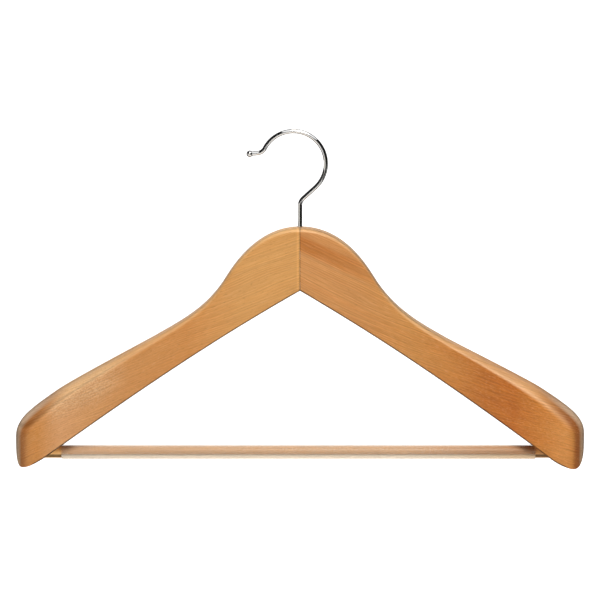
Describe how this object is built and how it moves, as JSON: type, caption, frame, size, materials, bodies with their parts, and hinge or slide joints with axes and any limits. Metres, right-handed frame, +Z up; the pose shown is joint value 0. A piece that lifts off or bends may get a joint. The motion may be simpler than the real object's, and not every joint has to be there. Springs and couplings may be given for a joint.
{
  "type": "clothes hanger",
  "caption": "Wide-shoulder wooden suit hanger: mitred contoured shoulders, swivelling chrome wire hook and a round trouser bar in a clear non-slip sleeve.",
  "frame": {"origin": "on the hook's swivel axis, where it crosses the inside of the hook's crown: the place where a clothes rail carries the hanger", "axes": "+X along the hanger, away from the open side of the hook; +Y to the back of the hanger, whose shoulders sweep forward towards -Y; +Z up along the swivel axis"},
  "size_m": [0.4442, 0.0622, 0.2611],
  "materials": {
    "light_beech": "satin lacquer",
    "red_beech": "satin lacquer",
    "bar_beech": "satin lacquer",
    "bare_beech": "unfinished",
    "chrome": "polished plating",
    "brass": "turned",
    "zinc_steel": "bright zinc",
    "clear_vinyl": "clear, finely ribbed, over beech"
  },
  "bodies": {
    "swivel_hook": {"hook": "chrome", "retaining_washer": "zinc_steel"},
    "shoulder_frame": {"left_shoulder": "light_beech", "right_shoulder": "red_beech", "swivel_bush": "brass", "upper_dowel": "bare_beech", "lower_dowel": "bare_beech", "trouser_bar": "bar_beech", "grip_sleeve": "clear_vinyl", "left_brad": "zinc_steel", "right_brad": "zinc_steel"}
  },
  "joints": [
    {"name": "hook_swivel", "type": "hinge", "parent": "swivel_hook", "child": "shoulder_frame", "pos_m": [0, 0, -0.08], "axis": [0, 0, 1], "continuous": true}
  ]
}
